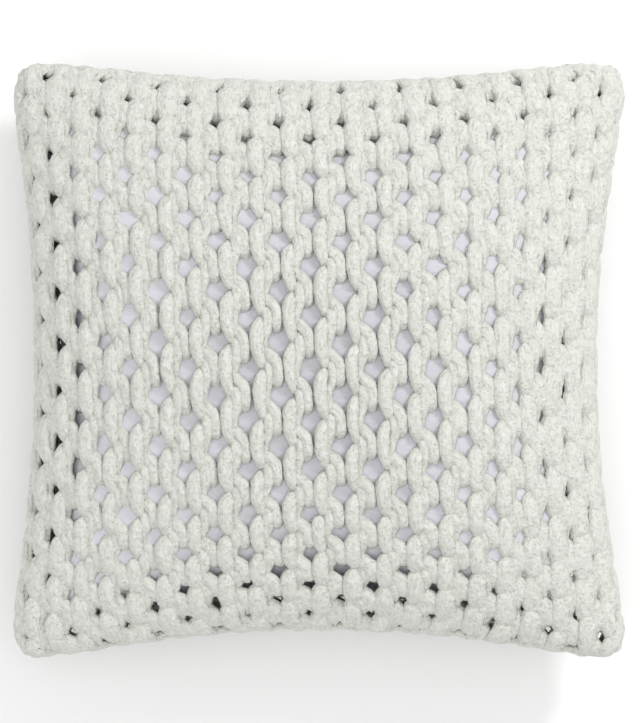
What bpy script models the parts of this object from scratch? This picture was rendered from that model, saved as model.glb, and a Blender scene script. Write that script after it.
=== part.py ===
"""A square throw pillow: a chunky knitted cover with a zip in its bottom edge, over a filled insert.

The pillow lies on its back panel. The origin is the middle of the flat patch that it rests on, +Z is
the front panel's outward direction, +Y points to the top edge, and lengths are metres.
"""

import math

import bmesh
import bpy

# Driving dimensions of the filled pillow.
COVER_WIDTH = 0.489  # along X, between its corners if they were sharp
COVER_HEIGHT = 0.475  # the same along Y
SIDE_PULL_IN = 0.0252  # how far the middle of the left and right edges lies inside the corners
END_PULL_IN = 0.0236  # the same for the top and bottom edges
CORNER_SQUARENESS = 0.9975  # 1 is a sharp corner, 0 is a round pillow
FRONT_RISE = 0.084  # from the edge seam up to the middle of the front
BACK_DROP = 0.080  # how deep the back would hang if nothing pressed on it
REST_DROP = 0.068  # depth of the flat patch that the pillow rests on

# Thicknesses and clearances.
KNIT_THICKNESS = 0.012
EDGE_SEAM_HEIGHT = 0.004  # yarn between the rims of the two knitted panels
GAP = 0.0003  # between pieces that touch
LAYER_CLEARANCE = 0.0010  # between crowned layers, whose flat facets dip below the true curve
CASING_THICKNESS = 0.0008
INSERT_EDGE_ROOM = 0.024  # empty space between the cover's inside and the insert's edge
INSERT_SEAM_WIDTH = 0.005  # how far the insert's sewn edge stands out
INSERT_SEAM_HEIGHT = 0.0016
INSERT_SEAM_BITE = 0.0010  # how far the sewn edge reaches in between the casing's rims

# The zip, which lies straight behind a mouth in the bottom edge.
ZIP_LENGTH = 0.280  # between its stops
ZIP_MOUTH_HEIGHT = 0.012
ZIP_MOUTH_MARGIN = 0.018  # how far the mouth runs past each stop, so that the pull can turn
TAPE_TAIL = 0.021  # tape past each stop
TAPE_WIDTH = 0.010
TAPE_THICKNESS = 0.0006
TAPE_CLEARANCE = 0.0006  # from the tape's outer edge to the knit
TEETH_SLOT = 0.0016  # between the two rows of teeth, for the slider's web
TEETH_WIDTH = 0.0020
TEETH_THICKNESS = 0.0018
STOP_LENGTH = 0.0032
STOP_THICKNESS = 0.0024
STITCH_THICKNESS = 0.0005
STITCH_INSET = 0.0030  # from the tape's outer edge to its line of stitches

SLIDER_LENGTH = 0.0090
SLIDER_PLATE = 0.0010
SLIDER_CLEARANCE = 0.0003  # to the teeth and the tape
SLIDER_LIP = 0.0010
SLIDER_PARKING_ROOM = 0.0005  # to the stop at each end of its travel
BRIDGE_LENGTH = 0.0066
BRIDGE_WIDTH = 0.0014
BRIDGE_BAR = 0.0009
BRIDGE_OPENING = 0.0020  # clear height under the bridge
PULL_LENGTH = 0.020
PULL_WIDTH = 0.0050
PULL_THICKNESS = 0.0012
PULL_ARM_CLEARANCE = 0.0004  # from the bridge's sides to the pull's arms
PULL_WINDOW = 0.0052  # from the hinge axis to the window's far end

LABEL_WIDTH = 0.024
LABEL_LENGTH = 0.011
LABEL_THICKNESS = 0.0006
LABEL_PLACE = 0.1  # its share of the free room beside it that lies on the zip's side

KNIT_GRID = 20  # quads across a knitted panel
INSERT_GRID = 16
SEAM_STEPS = 16

# Places that follow from the sizes above.
SEAM_Z = REST_DROP + EDGE_SEAM_HEIGHT / 2 + GAP
HALF_WIDTH = COVER_WIDTH / 2
HALF_HEIGHT = COVER_HEIGHT / 2
KNIT_RIM = EDGE_SEAM_HEIGHT / 2 + GAP  # height of a panel's rim above or below the seam
CORNER = math.sqrt((1 - math.sqrt(1 - CORNER_SQUARENESS)) / CORNER_SQUARENESS)

COLOURS = {
    "yarn": ((0.72, 0.72, 0.68), 0.95, 0.0),
    "casing": ((0.70, 0.70, 0.74), 0.90, 0.0),
    "filling": ((0.86, 0.86, 0.86), 0.95, 0.0),
    "tape": ((0.76, 0.76, 0.72), 0.85, 0.0),
    "nylon": ((0.80, 0.80, 0.77), 0.45, 0.0),
    "metal": ((0.72, 0.72, 0.70), 0.35, 0.9),
    "satin": ((0.88, 0.88, 0.88), 0.55, 0.0),
}


# Scene and materials


def clear_scene():
    for obj in list(bpy.data.objects):
        bpy.data.objects.remove(obj, do_unlink=True)


def material_for(name, finish):
    """A Principled material of the piece's own, in one of the pillow's finishes."""
    colour, roughness, metallic = COLOURS[finish]
    material = bpy.data.materials.new(name)
    material.use_nodes = True
    shader = material.node_tree.nodes["Principled BSDF"]
    shader.inputs["Base Color"].default_value = (*colour, 1.0)
    shader.inputs["Roughness"].default_value = roughness
    shader.inputs["Metallic"].default_value = metallic
    return material


def add_object(name, mesh_builder, finish, parent=None):
    """Turns a bmesh into a named object with its own material."""
    bmesh.ops.recalc_face_normals(mesh_builder, faces=mesh_builder.faces)
    if mesh_builder.calc_volume(signed=True) < 0:
        bmesh.ops.reverse_faces(mesh_builder, faces=mesh_builder.faces)
    mesh = bpy.data.meshes.new(name)
    mesh_builder.to_mesh(mesh)
    mesh_builder.free()
    mesh.materials.append(material_for(name, finish))
    obj = bpy.data.objects.new(name, mesh)
    bpy.context.scene.collection.objects.link(obj)
    obj.parent = parent
    return obj


def smooth(obj, degrees=40):
    obj.data.shade_smooth()
    obj.data.set_sharp_from_angle(angle=math.radians(degrees))


# The pillow's form


def plan_point(s, t, inset):
    """The plan position of (s, t), each from -1 to 1, on an outline this far inside the cover's.

    Every edge pulls in between its corners.
    """
    x = s * (HALF_WIDTH - inset - SIDE_PULL_IN * (1 - t * t))
    y = t * (HALF_HEIGHT - inset - END_PULL_IN * (1 - s * s))
    return x, y


def crown(s, t):
    """The pillow's height over the plan: 1 in the middle and 0 all along the rounded outline."""
    return math.sqrt(max(0.0, 1 - s * s - t * t + CORNER_SQUARENESS * s * s * t * t))


def rim_share(s):
    """How far out the rounded outline lies at s, measured across it."""
    return math.sqrt((1 - s * s) / (1 - CORNER_SQUARENESS * s * s))


def rounded(a, b):
    """Moves a point of the square grid onto the rounded square, ring by ring."""
    ring = max(abs(a), abs(b))
    if ring == 0:
        return 0.0, 0.0
    cosine, sine = a / math.hypot(a, b), b / math.hypot(a, b)
    squared = CORNER_SQUARENESS * (cosine * sine) ** 2
    reach = 1.0
    if squared > 1e-9:
        reach = math.sqrt((1 - math.sqrt(1 - 4 * squared)) / (2 * squared))
    return ring * reach * cosine, ring * reach * sine


def grid_line(index, count):
    """Grid lines from -1 to 1 that lie closer together towards the edges, where the form is steep."""
    return math.sin(math.pi / 2 * (2 * index / count - 1))


def crowned_sheet(builder, count, inset, rim, rise, flat):
    """A grid of points on one side of the pillow. Heights are measured from the seam.

    rise is the height of the crown above the rim, and flat is the height where it is pressed flat.
    A negative rise hangs down.
    """
    side = math.copysign(1.0, rise)
    rows = []
    for j in range(count + 1):
        row = []
        for i in range(count + 1):
            s, t = rounded(grid_line(i, count), grid_line(j, count))
            x, y = plan_point(s, t, inset)
            on_rim = i in (0, count) or j in (0, count)
            height = 0.0 if on_rim else abs(rise) * crown(s, t)
            height = min(rim + height, flat)
            row.append(builder.verts.new((x, y, SEAM_Z + side * height)))
        rows.append(row)
    return rows


def fill_grid(builder, rows):
    for lower, upper in zip(rows, rows[1:]):
        for i in range(len(lower) - 1):
            builder.faces.new((lower[i], lower[i + 1], upper[i + 1], upper[i]))


def rim_of(rows):
    """The grid's border, once round."""
    last = len(rows) - 1
    bottom = rows[0][:-1]
    right = [row[last] for row in rows[:-1]]
    top = rows[last][:0:-1]
    left = [row[0] for row in rows[:0:-1]]
    return bottom + right + top + left


def shell(name, finish, count, inset, thickness, rim, height, flat, side):
    """One half of a cover or casing: a crowned bowl of even thickness, open at its flat rim."""
    builder = bmesh.new()
    outer = crowned_sheet(builder, count, inset, rim, side * (height - rim), flat)
    inner_rise = side * (height - thickness - rim)
    inner = crowned_sheet(builder, count, inset + thickness, rim, inner_rise, flat - thickness)
    fill_grid(builder, outer)
    fill_grid(builder, inner)
    outer_rim = rim_of(outer)
    inner_rim = rim_of(inner)
    for k, corner in enumerate(outer_rim):
        after = (k + 1) % len(outer_rim)
        builder.faces.new((corner, outer_rim[after], inner_rim[after], inner_rim[k]))
    obj = add_object(name, builder, finish)
    smooth(obj)
    return obj


def strip_section(builder, edge, along, inset, width, height):
    """The four corners of a sewn strip's cross-section, this far along one edge.

    edge is a quarter turn count: 0 is the bottom edge, 1 the right, 2 the top and 3 the left.
    """
    across = rim_share(along)
    s, t = [(along, -across), (across, along), (-along, across), (-across, -along)][edge]
    outer = plan_point(s, t, inset)
    inner = plan_point(s, t, inset + width)
    section = []
    for (x, y), z in ((outer, -0.5), (outer, 0.5), (inner, 0.5), (inner, -0.5)):
        section.append(builder.verts.new((x, y, SEAM_Z + z * height)))
    return section


def join_sections(builder, here, there):
    for k, corner in enumerate(here):
        after = (k + 1) % len(here)
        builder.faces.new((corner, here[after], there[after], there[k]))


def edge_strip(name, finish, edge, start, end, inset, width, height):
    """A sewn strip along one edge, from one share of the edge to another.

    Even steps on a sine reach from start to end and bunch up in the corners.
    """
    builder = bmesh.new()
    first, last = math.asin(start / CORNER), math.asin(end / CORNER)
    sections = []
    for k in range(SEAM_STEPS + 1):
        along = CORNER * math.sin(first + (last - first) * k / SEAM_STEPS)
        sections.append(strip_section(builder, edge, along, inset, width, height))
    for here, there in zip(sections, sections[1:]):
        join_sections(builder, here, there)
    builder.faces.new(sections[0])
    builder.faces.new(sections[-1])
    return add_object(name, builder, finish)


def edge_ring(name, finish, inset, width, height):
    """A sewn strip all the way round."""
    builder = bmesh.new()
    sections = []
    for edge in range(4):
        for k in range(SEAM_STEPS):
            along = CORNER * math.sin(math.pi / 2 * (2 * k / SEAM_STEPS - 1))
            sections.append(strip_section(builder, edge, along, inset, width, height))
    for index, here in enumerate(sections):
        join_sections(builder, here, sections[(index + 1) % len(sections)])
    return add_object(name, builder, finish)


def block(name, finish, low, high):
    """A closed box between two corners."""
    builder = bmesh.new()
    bmesh.ops.create_cube(builder, size=1.0)
    size = [b - a for a, b in zip(low, high)]
    middle = [(a + b) / 2 for a, b in zip(low, high)]
    bmesh.ops.scale(builder, vec=size, verts=builder.verts)
    bmesh.ops.translate(builder, vec=middle, verts=builder.verts)
    return add_object(name, builder, finish)


def prism(name, finish, outline, axis_length, place, parent):
    """Extrudes an outline. place turns (u, v, w) into a point, with w running along the extrusion."""
    builder = bmesh.new()
    ends = []
    for w in (-axis_length / 2, axis_length / 2):
        ends.append([builder.verts.new(place(u, v, w)) for u, v in outline])
    for k in range(len(outline)):
        after = (k + 1) % len(outline)
        builder.faces.new((ends[0][k], ends[0][after], ends[1][after], ends[1][k]))
    builder.faces.new(ends[0])
    builder.faces.new(ends[1])
    builder.normal_update()
    bmesh.ops.triangulate(builder, faces=[f for f in builder.faces if len(f.verts) > 4])
    return add_object(name, builder, finish, parent)


# Cover


def knitted_panels():
    """The two knitted halves, with the mouth for the zip cut out of their bottom rims."""
    front = shell(
        "knitted_front", "yarn", KNIT_GRID, 0.0, KNIT_THICKNESS, KNIT_RIM, FRONT_RISE, FRONT_RISE, 1
    )
    back = shell(
        "knitted_back", "yarn", KNIT_GRID, 0.0, KNIT_THICKNESS, KNIT_RIM, BACK_DROP, SEAM_Z, -1
    )
    mouth_half = ZIP_LENGTH / 2 + ZIP_MOUTH_MARGIN
    deep_inside = -(HALF_HEIGHT - END_PULL_IN) + 2 * KNIT_THICKNESS
    cutter = block(
        "zip_mouth_cutter",
        "yarn",
        (-mouth_half, -HALF_HEIGHT - KNIT_THICKNESS, SEAM_Z - ZIP_MOUTH_HEIGHT / 2),
        (mouth_half, deep_inside, SEAM_Z + ZIP_MOUTH_HEIGHT / 2),
    )
    cutter.hide_render = True
    cutter.display_type = "WIRE"
    for panel in (front, back):
        cut = panel.modifiers.new("zip_mouth", "BOOLEAN")
        cut.operation = "DIFFERENCE"
        cut.solver = "EXACT"
        cut.object = cutter


def edge_seams():
    """The yarn that joins the two panels: one run along each edge, and two beside the zip."""
    corner_end = CORNER * (1 - GAP / HALF_WIDTH)
    mouth_end = (ZIP_LENGTH / 2 + ZIP_MOUTH_MARGIN) / (HALF_WIDTH - KNIT_THICKNESS)
    runs = (
        ("seam_bottom_left", 0, -corner_end, -mouth_end),
        ("seam_bottom_right", 0, mouth_end, corner_end),
        ("seam_right", 1, -corner_end, corner_end),
        ("seam_top", 2, -corner_end, corner_end),
        ("seam_left", 3, -corner_end, corner_end),
    )
    for name, edge, start, end in runs:
        edge_strip(name, "yarn", edge, start, end, 0.0, KNIT_THICKNESS, EDGE_SEAM_HEIGHT)


# Zip. It is laid out in its own coordinates: out is the distance out of the mouth from the tape's
# middle, and up is the distance from the seam towards the front panel.

TEETH_END = TEETH_SLOT / 2 + TEETH_WIDTH
TAPE_START = TEETH_END + GAP
TAPE_END = TAPE_START + TAPE_WIDTH


def zip_plane():
    """How far below the middle of the pillow the tape stands, just inside the knit."""
    inner_edge = HALF_HEIGHT - END_PULL_IN - KNIT_THICKNESS
    inner_drop = min(FRONT_RISE, BACK_DROP) - KNIT_THICKNESS - KNIT_RIM
    narrowing = math.sqrt(1 - ((TAPE_END - KNIT_RIM) / inner_drop) ** 2)
    return -(inner_edge * narrowing - TAPE_CLEARANCE - TAPE_THICKNESS / 2 - STITCH_THICKNESS - GAP)


ZIP_Y = zip_plane()


def zip_block(name, finish, x_range, out_range, up_range, side=1):
    """A box on the zip. side is 1 on the front panel's half and -1 on the back panel's."""
    ups = sorted(side * up for up in up_range)
    low = (x_range[0], ZIP_Y - out_range[1], SEAM_Z + ups[0])
    high = (x_range[1], ZIP_Y - out_range[0], SEAM_Z + ups[1])
    return block(name, finish, low, high)


def zip_halves():
    """The tapes, the rows of teeth, the stitches that hold the tapes, and the stops."""
    half = ZIP_LENGTH / 2
    tail = half + TAPE_TAIL
    tape = (-TAPE_THICKNESS / 2, TAPE_THICKNESS / 2)
    teeth = (-TEETH_THICKNESS / 2, TEETH_THICKNESS / 2)
    stop = (-STOP_THICKNESS / 2, STOP_THICKNESS / 2)
    row = (TEETH_SLOT / 2, TEETH_END)
    stitch_out = (TAPE_THICKNESS / 2 + GAP, TAPE_THICKNESS / 2 + GAP + STITCH_THICKNESS)
    stitch_up = (TAPE_END - STITCH_INSET, TAPE_END - STITCH_INSET + STITCH_THICKNESS)
    stop_end = half + GAP + STOP_LENGTH
    for half_name, side in (("front", 1), ("back", -1)):
        zip_block(f"zip_tape_{half_name}", "tape", (-tail, tail), tape, (TAPE_START, TAPE_END), side)
        zip_block(f"zip_teeth_{half_name}", "nylon", (-half, half), teeth, row, side)
        zip_block(f"zip_stitch_{half_name}", "yarn", (-tail, tail), stitch_out, stitch_up, side)
        zip_block(f"zip_top_stop_{half_name}", "metal", (half + GAP, stop_end), stop, row, side)
    both_rows = (-TEETH_END, TEETH_END)
    zip_block("zip_bottom_stop", "metal", (-stop_end, -half - GAP), stop, both_rows)


PLATE_INNER = TEETH_THICKNESS / 2 + SLIDER_CLEARANCE
PLATE_OUTER = PLATE_INNER + SLIDER_PLATE
LIP_START = TEETH_END + SLIDER_CLEARANCE
LIP_END = LIP_START + SLIDER_LIP
LIP_REACH = TAPE_THICKNESS / 2 + SLIDER_CLEARANCE
BRIDGE_FOOT = PLATE_OUTER + GAP
BRIDGE_TOP = BRIDGE_FOOT + BRIDGE_OPENING
PULL_OUT = PLATE_OUTER + (GAP + BRIDGE_OPENING) / 2  # the hinge axis, half way under the bridge
SLIDER_X = ZIP_LENGTH / 2 - SLIDER_LENGTH / 2 - SLIDER_PARKING_ROOM


def on_slider(u, v, w):
    """Outline (out, up) extruded along the zip, from the slider's own origin on the tape's plane."""
    return (w, -u, v)


def across_slider(u, v, w):
    """Outline (along the zip, out) extruded upwards."""
    return (u, -v, w)


def slider():
    """The slider's body and bridge, parked at the closed end on an empty at its joint."""
    carrier = bpy.data.objects.new("slider_origin", None)
    carrier.location = (SLIDER_X, ZIP_Y, SEAM_Z)
    bpy.context.scene.collection.objects.link(carrier)
    web = TEETH_SLOT / 2 - SLIDER_CLEARANCE
    quarter = [
        (PLATE_OUTER, LIP_END),
        (LIP_REACH, LIP_END),
        (LIP_REACH, LIP_START),
        (PLATE_INNER, LIP_START),
        (PLATE_INNER, web),
    ]
    upper = quarter + [(-out, up) for out, up in reversed(quarter)]
    lower = [(out, -up) for out, up in reversed(upper)]
    prism("zip_slider", "metal", upper + lower, SLIDER_LENGTH, on_slider, carrier)
    foot = BRIDGE_LENGTH / 2
    arch = [
        (-foot, BRIDGE_FOOT),
        (-foot, BRIDGE_TOP + BRIDGE_BAR / 2),
        (-foot + BRIDGE_BAR / 2, BRIDGE_TOP + BRIDGE_BAR),
        (foot - BRIDGE_BAR / 2, BRIDGE_TOP + BRIDGE_BAR),
        (foot, BRIDGE_TOP + BRIDGE_BAR / 2),
        (foot, BRIDGE_FOOT),
        (foot - BRIDGE_BAR, BRIDGE_FOOT),
        (foot - BRIDGE_BAR, BRIDGE_TOP),
        (-foot + BRIDGE_BAR, BRIDGE_TOP),
        (-foot + BRIDGE_BAR, BRIDGE_FOOT),
    ]
    prism("zip_slider_bridge", "metal", arch, BRIDGE_WIDTH, across_slider, carrier)
    return carrier


def pull_tab(carrier):
    """The pull, whose cross bar turns under the bridge. Its origin is on the hinge axis.

    It lies flat over the closed teeth and points away from the stops.
    """
    hinge = bpy.data.objects.new("pull_origin", None)
    hinge.location = (0.0, -PULL_OUT, 0.0)
    hinge.parent = carrier
    bpy.context.scene.collection.objects.link(hinge)
    half_bar = PULL_THICKNESS / 2
    half_width = PULL_WIDTH / 2
    arm = BRIDGE_WIDTH / 2 + PULL_ARM_CLEARANCE
    builder = bmesh.new()
    # Two rings of points, the outline and the window, make one flat frame.
    outline = [
        (half_bar, -half_width),
        (half_bar, half_width),
        (-PULL_LENGTH + half_width, half_width),
        (-PULL_LENGTH, half_width / 2),
        (-PULL_LENGTH, -half_width / 2),
        (-PULL_LENGTH + half_width, -half_width),
    ]
    window = [
        (-half_bar, -arm),
        (-half_bar, arm),
        (-PULL_WINDOW, arm),
        (-PULL_WINDOW, arm / 2),
        (-PULL_WINDOW, -arm / 2),
        (-PULL_WINDOW, -arm),
    ]
    rings = []
    for y in (-half_bar, half_bar):
        rings.append([builder.verts.new((x, y, z)) for x, z in outline])
        rings.append([builder.verts.new((x, y, z)) for x, z in window])
    for a, b in ((0, 1), (2, 3), (0, 2), (1, 3)):
        for k in range(len(outline)):
            after = (k + 1) % len(outline)
            builder.faces.new((rings[a][k], rings[a][after], rings[b][after], rings[b][k]))
    add_object("zip_pull_tab", builder, "metal", parent=hinge)


def care_label():
    """A blank folded label, held in the bottom seam and lying inside the cover.

    It shares the room between the zip tape's end and the side seam.
    """
    tape_end = ZIP_LENGTH / 2 + TAPE_TAIL
    share = tape_end / (HALF_WIDTH - KNIT_THICKNESS)
    tape_y = plan_point(share, -rim_share(share), KNIT_THICKNESS)[1]
    top_share = (tape_y + LABEL_LENGTH) / (HALF_HEIGHT - KNIT_THICKNESS)
    side_seam = plan_point(rim_share(top_share), top_share, KNIT_THICKNESS)[0]
    room = side_seam - tape_end - LABEL_WIDTH
    right = -(tape_end + LABEL_PLACE * room)
    left = right - LABEL_WIDTH
    share = right / (HALF_WIDTH - KNIT_THICKNESS)
    seam_y = plan_point(share, -rim_share(share), KNIT_THICKNESS)[1]
    block(
        "care_label",
        "satin",
        (left, seam_y + GAP, SEAM_Z - LABEL_THICKNESS / 2),
        (right, seam_y + GAP + LABEL_LENGTH, SEAM_Z + LABEL_THICKNESS / 2),
    )


# Insert


def zip_room():
    """How far inside the cover's outline the insert must stay so that its edge clears the stops."""
    stop_end = ZIP_LENGTH / 2 + GAP + STOP_LENGTH
    share = stop_end / (HALF_WIDTH - KNIT_THICKNESS - INSERT_EDGE_ROOM)
    outline_y = HALF_HEIGHT - END_PULL_IN * (1 - share * share)
    stop_y = -ZIP_Y - STOP_THICKNESS / 2 - GAP
    return outline_y - stop_y + INSERT_SEAM_WIDTH


def insert():
    """A sewn casing of two halves with its seam, and the fibre that fills it."""
    inset = max(KNIT_THICKNESS + INSERT_EDGE_ROOM, zip_room())
    rim = INSERT_SEAM_HEIGHT / 2 + GAP
    top = FRONT_RISE - KNIT_THICKNESS - LAYER_CLEARANCE
    bottom = BACK_DROP - KNIT_THICKNESS - LAYER_CLEARANCE
    rest = SEAM_Z - KNIT_THICKNESS - LAYER_CLEARANCE
    shell("insert_casing_front", "casing", INSERT_GRID, inset, CASING_THICKNESS, rim, top, top, 1)
    shell("insert_casing_back", "casing", INSERT_GRID, inset, CASING_THICKNESS, rim, bottom, rest, -1)
    seam_inset = inset - INSERT_SEAM_WIDTH
    seam_width = INSERT_SEAM_WIDTH + INSERT_SEAM_BITE
    edge_ring("insert_seam", "casing", seam_inset, seam_width, INSERT_SEAM_HEIGHT)

    fill_inset = inset + max(CASING_THICKNESS, INSERT_SEAM_BITE) + GAP
    lift = CASING_THICKNESS + LAYER_CLEARANCE
    builder = bmesh.new()
    upper = crowned_sheet(builder, INSERT_GRID, fill_inset, 0.0, top - lift, top - lift)
    lower = crowned_sheet(builder, INSERT_GRID, fill_inset, 0.0, -(bottom - lift), rest - lift)
    fill_grid(builder, upper)
    fill_grid(builder, lower)
    bmesh.ops.remove_doubles(builder, verts=rim_of(upper) + rim_of(lower), dist=1e-6)
    smooth(add_object("fibre_filling", builder, "filling"))


clear_scene()
knitted_panels()
edge_seams()
zip_halves()
pull_tab(slider())
care_label()
insert()
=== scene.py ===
import math

import bpy
import numpy as np
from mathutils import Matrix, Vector


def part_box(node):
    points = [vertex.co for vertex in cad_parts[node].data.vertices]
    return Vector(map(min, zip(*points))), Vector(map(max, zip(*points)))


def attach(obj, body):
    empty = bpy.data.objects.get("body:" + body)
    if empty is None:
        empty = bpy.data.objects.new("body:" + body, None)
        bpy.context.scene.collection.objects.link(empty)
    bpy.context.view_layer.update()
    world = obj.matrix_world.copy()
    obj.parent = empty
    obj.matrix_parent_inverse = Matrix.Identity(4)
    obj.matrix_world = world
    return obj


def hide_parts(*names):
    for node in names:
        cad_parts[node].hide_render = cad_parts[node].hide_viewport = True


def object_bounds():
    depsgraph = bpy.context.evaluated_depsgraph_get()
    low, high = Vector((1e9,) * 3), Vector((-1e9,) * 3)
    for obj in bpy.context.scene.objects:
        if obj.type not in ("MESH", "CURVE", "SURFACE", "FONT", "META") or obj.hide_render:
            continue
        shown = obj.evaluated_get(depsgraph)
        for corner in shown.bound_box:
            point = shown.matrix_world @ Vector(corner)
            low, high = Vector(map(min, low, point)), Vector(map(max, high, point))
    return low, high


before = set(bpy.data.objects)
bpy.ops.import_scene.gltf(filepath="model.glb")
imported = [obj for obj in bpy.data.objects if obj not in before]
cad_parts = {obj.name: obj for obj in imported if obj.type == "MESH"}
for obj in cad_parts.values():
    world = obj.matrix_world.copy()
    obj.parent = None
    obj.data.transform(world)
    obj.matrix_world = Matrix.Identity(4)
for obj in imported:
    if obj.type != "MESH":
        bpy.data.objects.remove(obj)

cad_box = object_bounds()


# ---------------------------------------------------------------------------------------------
# Studio: a pale floor under the pillow, a camera straight above it, and soft light whose main
# source stands off the pillow's upper right corner.

FLOOR_SIZE = 6.0
FLOOR_COLOUR = (0.93, 0.93, 0.93)
FLOOR_ROUGHNESS = 0.9
CAMERA_HEIGHT = 4.2
VIEW_MARGIN = 1.038  # the view's width over the pillow's
LIGHTS = (  # name, place, width and power
    ("key_light", (1.4, 1.3, 1.6), 0.5, 25),
    ("top_light", (-0.3, -0.3, 3.0), 2.4, 17),
    ("fill_light", (-2.2, -1.6, 1.8), 2.6, 9),
)
ROOM_COLOUR = (1.0, 1.0, 1.0, 1.0)
ROOM_LIGHT = 0.79


def soft_light(name, place, size, power):
    """A round area light that faces the middle of the pillow."""
    light = bpy.data.lights.new(name, "AREA")
    light.shape = "DISK"
    light.size = size
    light.energy = power
    obj = bpy.data.objects.new(name, light)
    bpy.context.collection.objects.link(obj)
    obj.location = place
    obj.rotation_euler = (middle - Vector(place)).to_track_quat("-Z", "Y").to_euler()


middle = (cad_box[0] + cad_box[1]) / 2
pillow_size = cad_box[1] - cad_box[0]

camera_data = bpy.data.cameras.new("camera")
camera = bpy.data.objects.new("camera", camera_data)
bpy.context.collection.objects.link(camera)
camera.location = (middle.x, middle.y, CAMERA_HEIGHT)
camera_data.sensor_fit = "HORIZONTAL"
seam_distance = CAMERA_HEIGHT - middle.z
camera_data.lens = camera_data.sensor_width * seam_distance / (pillow_size.x * VIEW_MARGIN)
bpy.context.scene.camera = camera

for light in LIGHTS:
    soft_light(*light)

world = bpy.data.worlds.new("studio")
world.use_nodes = True
world.node_tree.nodes["Background"].inputs["Color"].default_value = ROOM_COLOUR
world.node_tree.nodes["Background"].inputs["Strength"].default_value = ROOM_LIGHT
bpy.context.scene.world = world
bpy.context.scene.view_settings.view_transform = "Standard"


class Value:
    """A shader socket that takes part in Python arithmetic."""

    def __init__(self, paint, socket):
        self.paint = paint
        self.socket = socket

    def combine(self, operation, first, second):
        return self.paint.node("Math", {"operation": operation}, {0: first, 1: second})

    def __add__(self, other):
        return self.combine("ADD", self, other)

    def __radd__(self, other):
        return self.combine("ADD", other, self)

    def __sub__(self, other):
        return self.combine("SUBTRACT", self, other)

    def __rsub__(self, other):
        return self.combine("SUBTRACT", other, self)

    def __mul__(self, other):
        return self.combine("MULTIPLY", self, other)

    def __rmul__(self, other):
        return self.combine("MULTIPLY", other, self)


class Paint:
    """A material under construction: one Principled shader and the nodes that feed it."""

    def __init__(self, name, colour, roughness, metallic=0.0):
        self.material = bpy.data.materials.new(name)
        self.material.use_nodes = True
        self.tree = self.material.node_tree
        self.shader = self.tree.nodes["Principled BSDF"]
        self.feed("Base Color", (*colour, 1.0))
        self.feed("Roughness", roughness)
        self.feed("Metallic", metallic)

    def feed(self, name, value):
        self.plug(self.shader.inputs[name], value)

    def plug(self, socket, value):
        if isinstance(value, Value):
            self.tree.links.new(value.socket, socket)
        else:
            socket.default_value = value

    def node(self, kind, settings, sockets, output=0):
        made = self.tree.nodes.new("ShaderNode" + kind)
        for name, value in settings.items():
            setattr(made, name, value)
        for name, value in sockets.items():
            self.plug(made.inputs[name], value)
        return Value(self, made.outputs[output])

    def place(self):
        return self.node("TexCoord", {}, {}, "Object")

    def stretched(self, vector, scale):
        return self.node("VectorMath", {"operation": "MULTIPLY"}, {0: vector, 1: scale})

    def noise(self, vector, scale, detail):
        sockets = {"Vector": vector, "Scale": scale, "Detail": detail}
        return self.node("TexNoise", {}, sockets, "Fac")

    def wave(self, vector, scale, axis):
        settings = {"bands_direction": axis}
        return self.node("TexWave", settings, {"Vector": vector, "Scale": scale}, "Fac")

    def ramp(self, value, low, high):
        """0 below low and 1 above high."""
        return self.node("MapRange", {}, {"Value": value, "From Min": low, "From Max": high})

    def blend(self, share, first, second):
        """The first colour where share is 0 and the second where it is 1."""
        sockets = {"Factor": share, 6: (*first, 1.0), 7: (*second, 1.0)}
        return self.node("Mix", {"data_type": "RGBA"}, sockets, 2)

    def bump(self, height, distance):
        self.feed("Normal", self.node("Bump", {}, {"Height": height, "Distance": distance}))


bpy.ops.mesh.primitive_plane_add(size=FLOOR_SIZE, location=(0, 0, 0))
floor = bpy.context.object
floor.name = "floor"
floor_paint = Paint("floor_paper", FLOOR_COLOUR, FLOOR_ROUGHNESS)
floor.data.materials.append(floor_paint.material)


# ---------------------------------------------------------------------------------------------
# Insert: a casing of thin pale cotton, sewn from two squares and stuffed with fibre. It lies loose
# in the cover and stops short of its edges, and the filling's pressure creases it at the seam.

REACH_X = 0.2470  # half width at the corners if they weren't rounded
REACH_Y = 0.2408
PULL_IN_X = 0.0282  # how far the middle of each edge lies inside that
PULL_IN_Y = 0.0274
LEFT_SHIFT, RIGHT_SHIFT = -0.0045, -0.0020  # each edge's middle lies this far off the even form
BOTTOM_SHIFT, TOP_SHIFT = 0.0035, 0.0062
CORNER_POWER = 13  # of the rounded square that the outline follows at its corners

seam_low, seam_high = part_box("seam_top")
SEAM_Z = (seam_low.z + seam_high.z) / 2
FRONT_TOP = cad_box[1].z - SEAM_Z
REST_DEPTH = SEAM_Z - cad_box[0].z
BACK_HANG = 0.080  # how deep the back would hang if the floor didn't press it flat
PRESS_START = 0.80  # share of its flat depth at which the hanging back starts to flatten
PRESS_OVER = 0.40  # share of that depth over which it turns flat
PRESS_SINK = 0.20  # and how far it sinks while it does
FLAT_FACING = 40  # how firmly the flat patch's normals face the floor
LEAST_FACING = 1e-3  # keeps the normals of the edge from vanishing at the corners

INSERT_INSET = np.array([0.0270, 0.0325])  # across and up
INSERT_BULGE = 0.62
INSERT_LAYER = 0.0125  # from the cover's outside to the casing
INSERT_STEPS = 76
CASING_SWELL = 3.5  # pressure of the filling
CASING_FRAMES = 20  # how long the casing swells
CASING_REACH = 0.0022  # the furthest that a point of the casing moves as it fills
FILL_LAYER = 0.0030  # from the casing to the filling
FILL_SLACK = 0.0020  # further room above and below the filling
FILL_STEPS = 48
LUMPS = ((9.25, 5.75, 0.4), (5.25, 10.25, 1.9), (15.25, 3.25, 3.1))  # waves per metre, and phase
LUMP_DEPTH = 0.0006


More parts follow.
